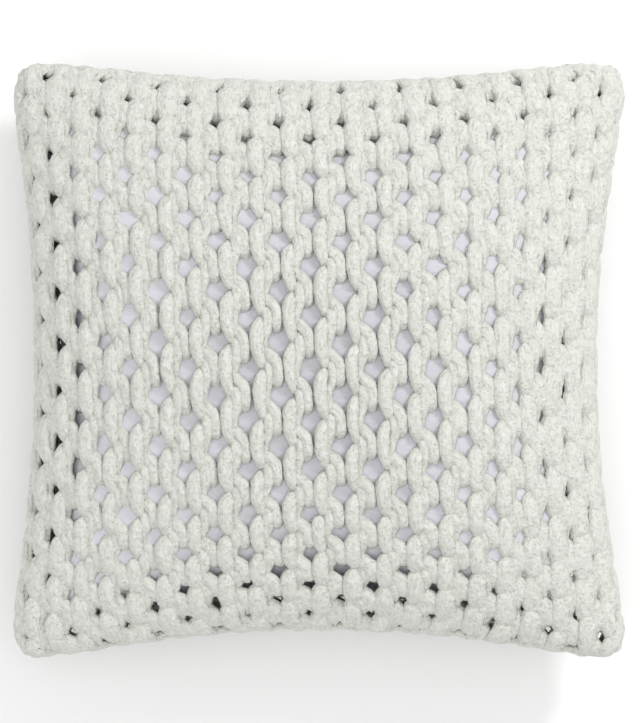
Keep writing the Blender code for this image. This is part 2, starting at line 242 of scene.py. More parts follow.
def pillow_point(a, b, inset, rim, height, side, flat=None, bulge=1.0):
    """Points and outward normals of one face of the pillow, from angles across it and up it.

    The angles run from -90 to 90 degrees between the edges. rim is the height at the edge above
    the seam, and flat is the depth that the floor presses the back to. bulge below 1 fills the form
    out towards its edges.
    """
    inset_x, inset_y = np.broadcast_to(inset, 2)
    s, t = np.sin(a), np.sin(b)
    lean_s, lean_t = np.cos(a), np.cos(b)
    rounding = np.maximum(np.abs(s) ** CORNER_POWER + np.abs(t) ** CORNER_POWER, 1)
    rounding **= -1 / CORNER_POWER
    x = s * rounding * (REACH_X - inset_x - PULL_IN_X * lean_t**2)
    y = t * rounding * (REACH_Y - inset_y - PULL_IN_Y * lean_s**2)
    x += np.where(s > 0, RIGHT_SHIFT, LEFT_SHIFT) * lean_t**2 * s**4
    y += np.where(t > 0, TOP_SHIFT, BOTTOM_SHIFT) * lean_s**2 * t**4
    crown = lean_s * lean_t
    rise = height - rim
    z = rim + rise * np.sign(crown) * np.abs(crown) ** bulge
    normal = np.stack(
        [s * lean_t**2 / REACH_X, t * lean_s**2 / REACH_Y, crown / rise + LEAST_FACING], axis=-1
    )
    if flat is not None:
        # The hanging depth turns smoothly into the flat patch.
        start = PRESS_START * flat
        pressed = np.clip((z - start) / (PRESS_OVER * flat), 0, 1)
        z = np.where(z > start, start + PRESS_SINK * flat * pressed * (2 - pressed), z)
        normal[..., 2] += FLAT_FACING * pressed
    normal /= np.linalg.norm(normal, axis=-1, keepdims=True)
    normal[..., 2] *= side
    return np.stack([x, y, SEAM_Z + side * z], axis=-1), normal


def add_mesh(name, verts, faces, material, body, nodes):
    """A smooth object of one material that stands in for CAD nodes."""
    mesh = bpy.data.meshes.new(name)
    mesh.from_pydata(np.asarray(verts).tolist(), [], faces)
    mesh.shade_smooth()
    mesh.materials.append(material)
    obj = bpy.data.objects.new(name, mesh)
    bpy.context.collection.objects.link(obj)
    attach(obj, body)
    if nodes:
        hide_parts(*nodes)
    return obj


def closed_pillow(inset, layer, steps):
    """Vertices and faces of both faces of a pillow, joined along the edge."""
    angles = np.linspace(-np.pi / 2, np.pi / 2, steps + 1)
    across, up = np.meshgrid(angles, angles)
    upper, _ = pillow_point(across, up, inset, 0.0, FRONT_TOP - layer, 1, None, INSERT_BULGE)
    lower, _ = pillow_point(
        across, up, inset, 0.0, BACK_HANG - layer, -1, REST_DEPTH - layer, INSERT_BULGE
    )
    count = steps + 1
    top = np.arange(count * count).reshape(count, count)
    bottom = top + count * count
    on_edge = np.zeros((count, count), bool)
    on_edge[[0, -1]] = True
    on_edge[:, [0, -1]] = True
    bottom[on_edge] = top[on_edge]
    faces = np.stack([top[:-1, :-1], top[:-1, 1:], top[1:, 1:], top[1:, :-1]], -1).reshape(-1, 4)
    under = np.stack([bottom[:-1, :-1], bottom[1:, :-1], bottom[1:, 1:], bottom[:-1, 1:]], -1)
    faces = np.concatenate([faces, under.reshape(-1, 4)])
    verts = np.concatenate([upper.reshape(-1, 3), lower.reshape(-1, 3)])
    used, faces = np.unique(faces, return_inverse=True)
    return verts[used], faces.reshape(-1, 4).tolist()


def creased(obj):
    """Swells the casing as cloth under pressure, and keeps every point close to where it was."""
    before = np.array([v.co[:] for v in obj.data.vertices])
    cloth = obj.modifiers.new("cloth", "CLOTH")
    cloth.settings.quality = 6
    cloth.settings.mass = 0.15
    cloth.settings.tension_stiffness = 18
    cloth.settings.compression_stiffness = 18
    cloth.settings.bending_stiffness = 0.02
    cloth.settings.use_pressure = True
    cloth.settings.uniform_pressure_force = CASING_SWELL
    cloth.settings.shrink_min = -0.05
    cloth.settings.effector_weights.gravity = 0
    cloth.collision_settings.use_collision = False
    for frame_number in range(1, CASING_FRAMES + 1):
        bpy.context.scene.frame_set(frame_number)
    settled = obj.evaluated_get(bpy.context.evaluated_depsgraph_get()).to_mesh()
    after = np.array([v.co[:] for v in settled.vertices])
    obj.modifiers.clear()
    bpy.context.scene.frame_set(1)
    move = after - before
    length = np.linalg.norm(move, axis=1, keepdims=True)
    move *= CASING_REACH * np.tanh(length / CASING_REACH) / np.maximum(length, 1e-9)
    for vertex, point in zip(obj.data.vertices, before + move):
        vertex.co = point


casing_paint = Paint("insert_cotton", (0.85, 0.85, 0.90), 0.85)
on_cloth = casing_paint.place()
weave = casing_paint.wave(on_cloth, 900.0, "X") + casing_paint.wave(on_cloth, 900.0, "Y")
fold_relief_and_painted_shade = casing_paint.noise(casing_paint.stretched(on_cloth, (0.35, 1.6, 1.0)), 60.0, 4.0)
# Painted shade: the cotton's colour darkens where the folds' relief is low, in the creases.
casing_paint.feed("Base Color", casing_paint.blend(fold_relief_and_painted_shade, (0.76, 0.76, 0.82), (0.89, 0.89, 0.95)))
casing_paint.bump(fold_relief_and_painted_shade + weave * 0.04, 0.0030)

verts, faces = closed_pillow(INSERT_INSET, INSERT_LAYER, INSERT_STEPS)
nodes = ("insert_casing_front", "insert_casing_back")
casing = add_mesh(
    "insert_casing", verts, faces, casing_paint.material, "cover", nodes
)
creased(casing)

# The filling: loose polyester fibre that packs into soft lumps inside the casing.

filling_paint = Paint("polyester_fibre", (0.86, 0.86, 0.86), 0.95)
tufts = filling_paint.noise(filling_paint.place(), 220.0, 6.0)
filling_paint.feed("Base Color", filling_paint.blend(tufts, (0.74, 0.74, 0.74), (0.93, 0.93, 0.93)))
filling_paint.bump(tufts, 0.0020)

verts, faces = closed_pillow(
    INSERT_INSET + FILL_LAYER, INSERT_LAYER + FILL_LAYER + FILL_SLACK, FILL_STEPS
)
lump = np.zeros(len(verts))
for waves_across, waves_up, phase in LUMPS:
    waves = waves_across * verts[:, 0] + waves_up * verts[:, 1]
    lump += np.sin(2 * np.pi * waves + phase)
verts[:, 2] -= np.sign(verts[:, 2] - SEAM_Z) * LUMP_DEPTH * np.abs(lump)
filling = add_mesh(
    "fibre_lumps", verts, faces, filling_paint.material, "cover",
    ("fibre_filling",)
)


# ---------------------------------------------------------------------------------------------
# Knitted cover: honeycomb mesh in thick felted yarn. In every wale a chain of fat bowed loops
# holds two slimmer strands that cross to the next wale, which leaves six-sided holes between them.

WALES = 22
PERIODS = 13.6  # holes in one column
COLUMN_LEAN = -0.30  # the wales lie this far left of an even spread
ROW_LEAN = 0.18  # and the rows this far above it
KNIT_INSET = 0.0060  # from the cover's outline to the middle of the knit
RIM_LIFT = 0.0052  # from the seam to the middle of the knit's rim
OUT_UNIT = 0.0036  # length of one unit out of the face
ACROSS_SPREAD = (0.79, 0.12, 9)  # slope, cubic share and end power of the stitches' spread
UP_SPREAD = (0.83, 0.0, 12)
SPREAD_FADE = 0.8
GATHER_START = 0.98  # from here to the edge the seam draws the stitches together
GATHER_ROOM = 0.02
EDGE_KEEP = 0.25  # how far past the edge a strand's middle may lie, in stitches
EDGE_FULLNESS = 0.56  # how much wider the loops lie where nothing stretches them
RIGHT_FULLNESS = 0.55  # the cover is also less stretched on its right side and at its top
TOP_FULLNESS = 0.10
ROW_FULLNESS = 0.55  # the rows next to the top and bottom edges are pushed together
ROW_POWER = 6
MOST_FULLNESS = 1.85
CORNER_LOSS = 1.05  # how much of that the corners lack, where the yarn is drawn in
CORNER_FOCUS = 6
CORNER_FLATTENING = 0.6  # how much less the loops stand out at the corners
PLUMP_FROM = 1.15  # fuller strands than this lose their taper
PLUMP_OVER = 0.45
LOOP_FLATNESS = 0.76
FLATTENING = 1.2  # how fast a wider strand gets flatter
LOOP_SHIFT = 0.022  # how unevenly the loops lie
STRAND_SHIFT = (0.018, 0.020, 0.10)  # and the strands of one loop, across, up and out
THICKNESS_SPREAD = 0.05
SURFACE_SPREAD = 0.05
FLOOR_GAP = 0.0003
MOUTH_HALF = 0.158  # half the length of the opening for the zip
MOUTH_TAPER = 0.012  # length over which it closes at each end
MOUTH_FOCUS = 40  # how fast the rim's lift fades away from the edge
MOUTH_LIFT = 0.0065  # how far the knit's rim lifts off the seam along the zip
MOUTH_OPEN = 0.0062  # what stays clear above and below the seam there
MOUTH_BACK = -0.160  # yarn further from the bottom edge than this is left where it is
TUBE_SIDES = 8
RIM_RADIUS = 0.0046
RIM_STEPS = 132  # along one edge
RIM_LINKS = 22
RIM_SWAY = 0.2  # how far each link of the chain stands out, in units out
RIM_SWELL = 0.14  # how much thicker it is in its middle
RIM_FLATNESS = 0.85

# Strands of one loop, measured from the hole at its left: columns across, periods up, units out
# of the face, and share of the strand's full radius.
LEAF = (
    (0.560, -0.06, -1.0, 0.55), (0.455, -0.10, -0.1, 0.78), (0.350, -0.20, 0.50, 0.95),
    (0.312, -0.34, 0.75, 1.0), (0.310, -0.48, 0.80, 1.0), (0.325, -0.62, 0.75, 0.98),
    (0.378, -0.77, 0.50, 0.88), (0.440, -0.91, 0.10, 0.70), (0.490, -1.02, -0.9, 0.50),
)
LEG = (
    (0.575, 0.18, -1.0, 0.8), (0.630, 0.09, -0.1, 1.0), (0.665, -0.02, 0.35, 1.0),
    (0.665, -0.15, 0.40, 1.0), (0.630, -0.28, 0.15, 1.0), (0.565, -0.40, -0.1, 0.95),
    (0.520, -0.53, -0.2, 0.9), (0.500, -0.70, -0.5, 0.9), (0.480, -0.85, -1.0, 0.8),
)
TUCK = (
    (0.430, 0.40, -1.0, 0.7), (0.520, 0.33, -0.4, 0.9), (0.650, 0.26, 0.05, 1.0),
    (0.800, 0.18, 0.30, 1.0), (0.905, 0.08, 0.40, 1.0), (0.930, -0.05, 0.45, 1.0),
    (0.925, -0.18, 0.35, 1.0), (0.900, -0.28, -0.6, 1.0), (0.860, -0.34, -2.0, 0.9),
)
STRANDS = ((LEAF, 13, 0.0052), (LEG, 12, 0.0042), (TUCK, 11, 0.0045))  # path, steps, radius


def smooth_path(points, steps):
    """Evenly stepped points on a Catmull-Rom curve through the given ones."""
    points = np.asarray(points, float)
    ends = np.concatenate([2 * points[:1] - points[1:2], points, 2 * points[-1:] - points[-2:-1]])
    at = np.linspace(0, len(points) - 1, steps + 1)
    k = np.minimum(at.astype(int), len(points) - 2)
    f = (at - k)[:, None]
    p0, p1, p2, p3 = ends[k], ends[k + 1], ends[k + 2], ends[k + 3]
    curve = 2 * p1 + (p2 - p0) * f
    curve += (2 * p0 - 5 * p1 + 4 * p2 - p3) * f**2
    curve += (3 * p1 - p0 - 3 * p2 + p3) * f**3
    return curve / 2


def angle_at(share, fullness, slope, cubic, end_power):
    """The angle across a face at a share of the stitches from its middle to its edge.

    Where the pillow is full the stitches spread over its curve. Where it is thin, at the ends of
    the other direction, they lie evenly.
    """
    size = np.minimum(np.abs(share), 1)
    spread = slope * size + cubic * size**3 + (1 - slope - cubic) * size**end_power
    even = np.arcsin(size) * 2 / np.pi
    return np.sign(share) * (spread * fullness + even * (1 - fullness)) * np.pi / 2


def gathered(share):
    """Stitches that would run over the edge are drawn together along it by the seam."""
    over = np.maximum(np.abs(share) - GATHER_START, 0)
    drawn = GATHER_ROOM * np.tanh(over / GATHER_ROOM)
    return np.sign(share) * (np.minimum(np.abs(share), GATHER_START) + drawn)


def stitch_place(columns, periods, out, side):
    """Points and normals on a face of the cover from stitch coordinates, and the yarn's fullness."""
    u = gathered(columns / (WALES / 2) - 1)
    v = gathered(periods / (PERIODS / 2) - 1)
    height = (FRONT_TOP if side > 0 else BACK_HANG) - KNIT_INSET
    a, b = u * np.pi / 2, v * np.pi / 2
    for _ in range(5):  # each angle depends on the other, and a few rounds settle both
        across = angle_at(u, np.cos(b) ** SPREAD_FADE, *ACROSS_SPREAD)
        up = angle_at(v, np.cos(a) ** SPREAD_FADE, *UP_SPREAD)
        a, b = across, up
    flat = None if side > 0 else REST_DEPTH - KNIT_INSET
    place, normal = pillow_point(a, b, KNIT_INSET, RIM_LIFT, height, side, flat)
    low_edge = np.clip(-np.sin(b), 0, 1) ** MOUTH_FOCUS
    in_mouth = np.clip((MOUTH_HALF - np.abs(place[..., 0])) / MOUTH_TAPER, 0, 1)
    place[..., 2] += side * MOUTH_LIFT * low_edge * in_mouth
    thin = 1 - np.cos(a) * np.cos(b)
    fuller = 1 + EDGE_FULLNESS * thin
    fuller += RIGHT_FULLNESS * np.maximum(np.sin(a), 0) ** 2
    fuller += TOP_FULLNESS * np.maximum(np.sin(b), 0) + ROW_FULLNESS * np.sin(b) ** ROW_POWER
    corner = np.abs(np.sin(a) * np.sin(b)) ** CORNER_FOCUS
    fuller = np.minimum(fuller, MOST_FULLNESS - CORNER_LOSS * corner)
    out = out * (1 - CORNER_FLATTENING * thin**4)
    return place + normal * (out * OUT_UNIT)[..., None], normal, fuller


def tubes(paths, normals, radii, rng, flatness):
    """Strands. paths is (tubes, points, 3), and radii is (tubes, points).

    flatness is their thickness over their width, as one number or one for every point. Returns
    points, faces and texture coordinates that run along each strand.
    """
    count, length, _ = paths.shape
    tangent = np.gradient(paths, axis=1)
    tangent /= np.linalg.norm(tangent, axis=2, keepdims=True)
    side = np.cross(tangent, normals)
    side /= np.linalg.norm(side, axis=2, keepdims=True)
    up = np.cross(side, tangent)
    turn = 2 * np.pi * np.arange(TUBE_SIDES) / TUBE_SIDES - np.pi / 2
    cosine, sine = np.cos(turn)[:, None], np.sin(turn)[:, None]
    flatness = np.broadcast_to(flatness, (count, length))[:, :, None, None]
    ring = side[:, :, None] * cosine + up[:, :, None] * sine * flatness
    uneven = 1 + SURFACE_SPREAD * rng.normal(0, 1, (count, length, TUBE_SIDES))
    verts = paths[:, :, None] + ring * (radii[:, :, None] * uneven)[..., None]
    step = np.linalg.norm(np.diff(paths, axis=1), axis=2)
    along = np.concatenate([np.zeros((count, 1)), np.cumsum(step, axis=1)], axis=1)
    along = along + rng.uniform(0, 10, (count, 1))
    round_place = np.stack(
        np.broadcast_arrays(
            along[:, :, None], radii[:, :, None] * cosine[:, 0], radii[:, :, None] * sine[:, 0]
        ),
        axis=-1,
    )
    index = np.arange(count * length * TUBE_SIDES).reshape(count, length, TUBE_SIDES)
    here, there = index[:, :-1], index[:, 1:]
    quads = np.stack([here, np.roll(here, -1, 2), np.roll(there, -1, 2), there], axis=-1)
    caps = np.concatenate([index[:, 0, ::-1], index[:, -1]])
    faces = quads.reshape(-1, 4).tolist() + caps.tolist()
    return verts.reshape(-1, 3), faces, round_place.reshape(-1, 3)


def add_tubes(name, groups, material, body, nodes):
    """One object from several groups of strands, with coordinates for the yarn's texture."""
    verts, faces, places, start = [], [], [], 0
    for points, group_faces, round_place in groups:
        verts.append(points)
        places.append(round_place)
        faces += [[corner + start for corner in face] for face in group_faces]
        start += len(points)
    obj = add_mesh(name, np.concatenate(verts), faces, material, body, nodes)
    attribute = obj.data.attributes.new("strand", "FLOAT_VECTOR", "POINT")
    attribute.data.foreach_set("vector", np.concatenate(places).ravel().astype(np.float32))
    return obj


def kept_apart(verts, side):
    """Holds the yarn of a panel on its own side of the seam, off the floor and out of the mouth."""
    in_mouth = np.clip((MOUTH_HALF - np.abs(verts[:, 0])) / MOUTH_TAPER, 0, 1)
    in_mouth = in_mouth * (verts[:, 1] < MOUTH_BACK)
    off_seam = np.maximum(side * (verts[:, 2] - SEAM_Z), MOUTH_OPEN * in_mouth)
    verts[:, 2] = np.maximum(SEAM_Z + side * off_seam, FLOOR_GAP)
    return verts


def panel_rim(side, rng):
    """The chain of yarn that the panel was cast on and bound off with, right round its edge."""
    share = np.linspace(0, 1, RIM_STEPS + 1)[:-1]
    low, high = np.zeros_like(share), np.ones_like(share)
    columns = WALES * np.concatenate([share, high, 1 - share, low, share[:1]])
    periods = PERIODS * np.concatenate([low, share, high, 1 - share, low[:1]])
    link = np.sin(np.arange(len(columns)) * 2 * np.pi * RIM_LINKS / RIM_STEPS)
    points, normal, _ = stitch_place(columns, periods, RIM_SWAY * link, side)
    radii = RIM_RADIUS * (1 + RIM_SWELL * link)
    return tubes(points[None], normal[None], radii[None], rng, RIM_FLATNESS)


def knitted_face(name, side, seed, node):
    """All the strands of one face of the cover. Every second wale lies half a period higher."""
    rng = np.random.default_rng(seed)
    wale, period = np.meshgrid(np.arange(-1, WALES + 1), np.arange(-1, PERIODS + 2), indexing="ij")
    wale, period = wale.ravel(), period.ravel()
    origin = np.stack([wale + COLUMN_LEAN, period + ROW_LEAN + 0.5 * (wale % 2)], axis=1)
    origin = origin + rng.normal(0, LOOP_SHIFT, origin.shape)
    groups = []
    for shape, steps, radius in STRANDS:
        path = smooth_path(shape, steps)
        wobble = rng.normal(0, 1, (len(origin), 3)) * STRAND_SHIFT
        columns = origin[:, :1] + path[None, :, 0] + wobble[:, :1]
        periods = origin[:, 1:] + path[None, :, 1] + wobble[:, 1:2]
        out = path[None, :, 2] + wobble[:, 2:]
        keep = np.abs(periods.mean(axis=1) - PERIODS / 2) < PERIODS / 2 + EDGE_KEEP
        keep &= np.abs(columns.mean(axis=1) - WALES / 2) < WALES / 2 + EDGE_KEEP
        columns, periods, out = columns[keep], periods[keep], out[keep]
        points, normal, fuller = stitch_place(columns, periods, out, side)
        plump = np.clip((fuller - PLUMP_FROM) / PLUMP_OVER, 0, 1)
        taper = path[None, :, 3] ** (1 - plump)
        thickness = 1 + THICKNESS_SPREAD * rng.normal(0, 1, (len(columns), 1))
        radii = radius * fuller * taper * thickness
        flatness = LOOP_FLATNESS / fuller**FLATTENING
        verts, faces, places = tubes(points, normal, radii, rng, flatness)
        groups.append((kept_apart(verts, side), faces, places))
    verts, faces, places = panel_rim(side, rng)
    groups.append((kept_apart(verts, side), faces, places))
    return add_tubes(name, groups, yarn_paint.material, "cover", (node,))


yarn_paint = Paint("felted_yarn", (0.68, 0.68, 0.64), 0.95)
strand = yarn_paint.node("Attribute", {"attribute_name": "strand"}, {}, "Vector")
streaks = yarn_paint.noise(yarn_paint.stretched(strand, (0.35, 1.0, 1.0)), 480.0, 5.0)
blotches = yarn_paint.noise(yarn_paint.place(), 210.0, 4.0)
pits = yarn_paint.ramp(yarn_paint.noise(yarn_paint.place(), 560.0, 2.0), 0.60, 0.72)
tone = yarn_paint.ramp(streaks * 0.5 + blotches * 0.5, 0.36, 0.62)
felt = yarn_paint.blend(tone, (0.59, 0.59, 0.545), (0.71, 0.715, 0.67))
yarn_paint.feed("Base Color", felt)
yarn_paint.bump(streaks * 0.8 + blotches * 1.5 - pits * 0.3, 0.0018)

knit_front = knitted_face("knit_front", 1, 3, "knitted_front")
knit_back = knitted_face("knit_back", -1, 8, "knitted_back")


# Loose ends of fibre stand off the felted yarn all over.

FIBRE_WIDTH = 0.00010
FIBRE_COUNT = 16000
FIBRE_LIFT = 0.55  # how much a fibre heads away from the yarn
FIBRE_STRAY = 0.48  # and how much it heads any other way
FIBRE_BEND = 0.0008
FIBRE_REACH = (0.0012, 0.0034)  # shortest and longest
FIBRE_BENDS = ((0.0, 1.1), (0.35, 0.75), (0.7, 0.4), (1.0, 0.1))  # share along it, and of its width


def loose_fibres(name, source, seed, node):
    """Short bent fibres that start on the surface of a knitted face."""
    rng = np.random.default_rng(seed)
    count = len(source.data.vertices)
    points, normals = np.zeros(count * 3), np.zeros(count * 3)
    source.data.vertices.foreach_get("co", points)
    source.data.vertices.foreach_get("normal", normals)
    pick = rng.integers(count, size=FIBRE_COUNT)
    root, normal = points.reshape(-1, 3)[pick], normals.reshape(-1, 3)[pick]
    heading = FIBRE_LIFT * normal + rng.normal(0, FIBRE_STRAY, (FIBRE_COUNT, 3))
    bend = rng.normal(0, FIBRE_BEND, (FIBRE_COUNT, 3))
    reach = rng.uniform(*FIBRE_REACH, (FIBRE_COUNT, 1))
    across = np.cross(heading, normal + [0.01, 0.02, 0.03])
    across *= FIBRE_WIDTH / 2 / np.linalg.norm(across, axis=1, keepdims=True)
    rows = []
    for share, width in FIBRE_BENDS:
        centre = root + heading * reach * share + bend * share**2
        rows.append(np.stack([centre - across * width, centre + across * width], axis=1))
    verts = np.stack(rows, axis=1)
    verts[..., 2] = np.maximum(verts[..., 2], FLOOR_GAP)
    index = np.arange(verts[..., 0].size).reshape(verts.shape[:3])
    quads = np.stack([index[:, :-1, 0], index[:, :-1, 1], index[:, 1:, 1], index[:, 1:, 0]], -1)
    add_mesh(
        name, verts.reshape(-1, 3), quads.reshape(-1, 4).tolist(), fibre_paint.material,
        "cover", (node,)
    )


fibre_paint = Paint("loose_fibre", (0.74, 0.74, 0.70), 0.9)
mottle = fibre_paint.noise(fibre_paint.place(), 400.0, 2.0)
fibre_paint.feed("Base Color", fibre_paint.blend(mottle, (0.58, 0.58, 0.53), (0.80, 0.80, 0.76)))
loose_fibres("fibres_front", knit_front, 11, "knitted_front")
loose_fibres("fibres_back", knit_back, 12, "knitted_back")


# Edge seams: the same yarn, two plies twisted together, gathers the rims of both faces. Two runs
# share the bottom edge with the zip.

SEAM_INSET = 0.0085
PLY_RADIUS = 0.0026
PLY_ORBIT = 0.0022
PLY_TURN = 0.022  # length of one twist
PLY_STEPS = 1.6  # in each degree along the edge
CORNER_ANGLE = 84.0
ZIP_ANGLE = 47.0
SEAM_RUNS = (  # node, quarter turns from the bottom edge, first and last angle along the edge
    ("seam_bottom_left", 0, -CORNER_ANGLE, -ZIP_ANGLE),
    ("seam_bottom_right", 0, ZIP_ANGLE, CORNER_ANGLE),
    ("seam_right", 1, -CORNER_ANGLE, CORNER_ANGLE),
    ("seam_top", 2, -CORNER_ANGLE, CORNER_ANGLE),
    ("seam_left", 3, -CORNER_ANGLE, CORNER_ANGLE),
)


def twisted_seam(name, quarter, first, last, seed):
    """Two plies along one edge of the cover."""
    rng = np.random.default_rng(seed)
    steps = int((last - first) * PLY_STEPS)
    along = np.radians(np.linspace(first, last, steps + 1))
    edge = np.full_like(along, np.pi / 2)
    a, b = [(along, -edge), (edge, along), (-along, edge), (-edge, -along)][quarter]
    line, _ = pillow_point(a, b, SEAM_INSET, 0.0, FRONT_TOP, 1)
    travel = np.concatenate([[0], np.cumsum(np.linalg.norm(np.diff(line, axis=0), axis=1))])
    tangent = np.gradient(line, axis=0)
    tangent /= np.linalg.norm(tangent, axis=1, keepdims=True)
    up = np.tile([0.0, 0.0, 1.0], (len(line), 1))
    out = np.cross(tangent, up)
    plies, normals = [], []
    for phase in (0, np.pi):
        turn = (2 * np.pi * travel / PLY_TURN + phase)[:, None]
        direction = out * np.cos(turn) + up * np.sin(turn)
        plies.append(line + PLY_ORBIT * direction)
        normals.append(direction)
    radii = np.full((2, len(line)), PLY_RADIUS)
    group = tubes(np.array(plies), np.array(normals), radii, rng, 1.0)
    add_tubes(name + "_yarn", [group], yarn_paint.material, "cover", (name,))


for seed, (name, quarter, first, last) in enumerate(SEAM_RUNS):
    twisted_seam(name, quarter, first, last, seed)


# ---------------------------------------------------------------------------------------------
# Insert's sewn edge: the rims of both casing halves, pressed flat together and overlocked with
# cotton thread, which puckers them a little.

SEAM_STRIP_OUT = 0.0050  # how far the sewn edge stands out from the casing
SEAM_STRIP_IN = 0.0010  # how far it reaches into the casing
SEAM_STRIP_HALF = 0.0007
LOOP_STEPS = 240  # in one side
PUCKERS = 120  # in one side
PUCKER_DEPTH = 0.0004
THREAD = 0.00025
THREAD_TURNS = 420  # in one side
TURN_STEPS = 7
WRAP_ROOM = 1.08  # how wide the thread's loops are for the strip that they hold


def edge_loop(inset):
    """The line right round the pillow at this inset, ending where it starts."""
    along = np.linspace(-np.pi / 2, np.pi / 2, LOOP_STEPS + 1)[:-1]
    edge = np.full_like(along, np.pi / 2)
    a = np.concatenate([along, edge, -along, -edge, along[:1]])
    b = np.concatenate([-edge, along, edge, -along, -edge[:1]])
    return pillow_point(a, b, inset, 0.0, FRONT_TOP, 1)[0]


outer = edge_loop(INSERT_INSET - SEAM_STRIP_OUT)
inner = edge_loop(INSERT_INSET + SEAM_STRIP_IN)
phase = np.arange(len(outer)) * 2 * np.pi * PUCKERS / LOOP_STEPS
ripple = np.stack([0 * phase, 0 * phase, PUCKER_DEPTH * np.sin(phase)], axis=1)
up = np.array([0.0, 0.0, SEAM_STRIP_HALF])
ring = [inner - up, outer - up * 0.5 + ripple, outer + up * 0.5 + ripple, inner + up]
verts = np.stack(ring, axis=1)
index = np.arange(verts.shape[0] * 4).reshape(-1, 4)
quads = np.stack(
    [index[:-1], np.roll(index[:-1], -1, 1), np.roll(index[1:], -1, 1), index[1:]], axis=-1
)
add_mesh(
    "insert_edge", verts.reshape(-1, 3), quads.reshape(-1, 4).tolist(), casing_paint.material,
    "cover", ("insert_seam",)
)

thread_paint = Paint("sewing_cotton", (0.82, 0.82, 0.80), 0.6)
twist = thread_paint.noise(thread_paint.place(), 2500.0, 2.0)
thread_paint.feed("Base Color", thread_paint.blend(twist, (0.70, 0.70, 0.68), (0.88, 0.88, 0.86)))
thread_paint.bump(twist, 0.0002)

share = np.linspace(0, 1, THREAD_TURNS * 4 * TURN_STEPS + 1)
at = share * (len(outer) - 1)
low = np.minimum(at.astype(int), len(outer) - 2)
part = (at - low)[:, None]
middle_line = (outer + inner) / 2
centre = middle_line[low] * (1 - part) + middle_line[low + 1] * part
across = ((outer - inner) / 2)[low]
turn = (2 * np.pi * THREAD_TURNS * 4 * share)[:, None]
rise = np.array([0, 0, SEAM_STRIP_HALF + THREAD])
wrap = across * WRAP_ROOM * np.cos(turn) + rise * np.sin(turn)
path = (centre + wrap)[None]
group = tubes(path, wrap[None], np.full(path.shape[:2], THREAD), np.random.default_rng(4), 1.0)
add_tubes(
    "insert_overlock", [group], thread_paint.material, "cover", ("insert_seam",)
)


# ---------------------------------------------------------------------------------------------
# Zip in the bottom edge: two woven tapes that carry coils of nylon. Single stitches of thread
# hold the tapes to the knit's rims.

TAPE_STEPS = (900, 24)
TWILL_DEPTH = 0.00006
TWILL_ALONG = 0.0016  # from rib to rib
TWILL_ACROSS = 0.0020


def span(node):
    """The two corners of a CAD node's box."""
    low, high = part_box(node)
    return np.array(low), np.array(high)


def slab(low, high, steps, axes, relief):
    """A closed sheet between two corners, with relief pressed into both of its faces.

    axes are the numbers of the axes along it, across it and through it.
    """
    along, across, through = axes
    a = np.linspace(low[along], high[along], steps[0] + 1)
    b = np.linspace(low[across], high[across], steps[1] + 1)
    a, b = np.meshgrid(a, b, indexing="ij")
    middle_plane, half = (low[through] + high[through]) / 2, (high[through] - low[through]) / 2
    depth = relief(a, b)
    verts = np.zeros((2, *a.shape, 3))
    verts[..., along], verts[..., across] = a, b
    verts[0, ..., through] = middle_plane - half + depth
    verts[1, ..., through] = middle_plane + half - depth
    index = np.arange(a.size * 2).reshape(2, *a.shape)
    faces = []
    for layer, step in ((0, 1), (1, -1)):
        grid = index[layer]
        quads = np.stack([grid[:-1, :-1], grid[:-1, 1:], grid[1:, 1:], grid[1:, :-1]], -1)
        faces += quads.reshape(-1, 4)[:, ::step].tolist()
    for border in (index[:, 0], index[:, :, -1], index[:, -1, ::-1], index[:, ::-1, 0]):
        near, far = border
        faces += np.stack([near[1:], near[:-1], far[:-1], far[1:]], -1).tolist()
    return verts.reshape(-1, 3), faces


def twill(along, across):
    """Slanting ribs of the woven tape."""
    ribs = along / TWILL_ALONG + across / TWILL_ACROSS
    return TWILL_DEPTH * (1 + np.sin(2 * np.pi * ribs))


tape_paint = Paint("woven_tape", (0.74, 0.74, 0.70), 0.85)
ribs = tape_paint.wave(tape_paint.place(), 700.0, "DIAGONAL")
tape_paint.feed("Base Color", tape_paint.blend(ribs, (0.62, 0.62, 0.58), (0.80, 0.80, 0.76)))
tape_paint.bump(ribs, 0.0003)

COIL_WIRE = 0.00026
COIL_TURNS = 128
COIL_STEPS = 10  # in one turn
coil_paint = Paint("nylon_coil", (0.80, 0.80, 0.77), 0.35)
haze = coil_paint.noise(coil_paint.place(), 900.0, 2.0)
coil_paint.feed("Roughness", 0.28 + haze * 0.2)
coil_paint.feed("Base Color", coil_paint.blend(haze, (0.74, 0.74, 0.71), (0.86, 0.86, 0.83)))

STITCH = 0.0026
STITCH_GAP = 0.0010
STITCH_THREAD = 0.0002
STITCH_STEPS = 6

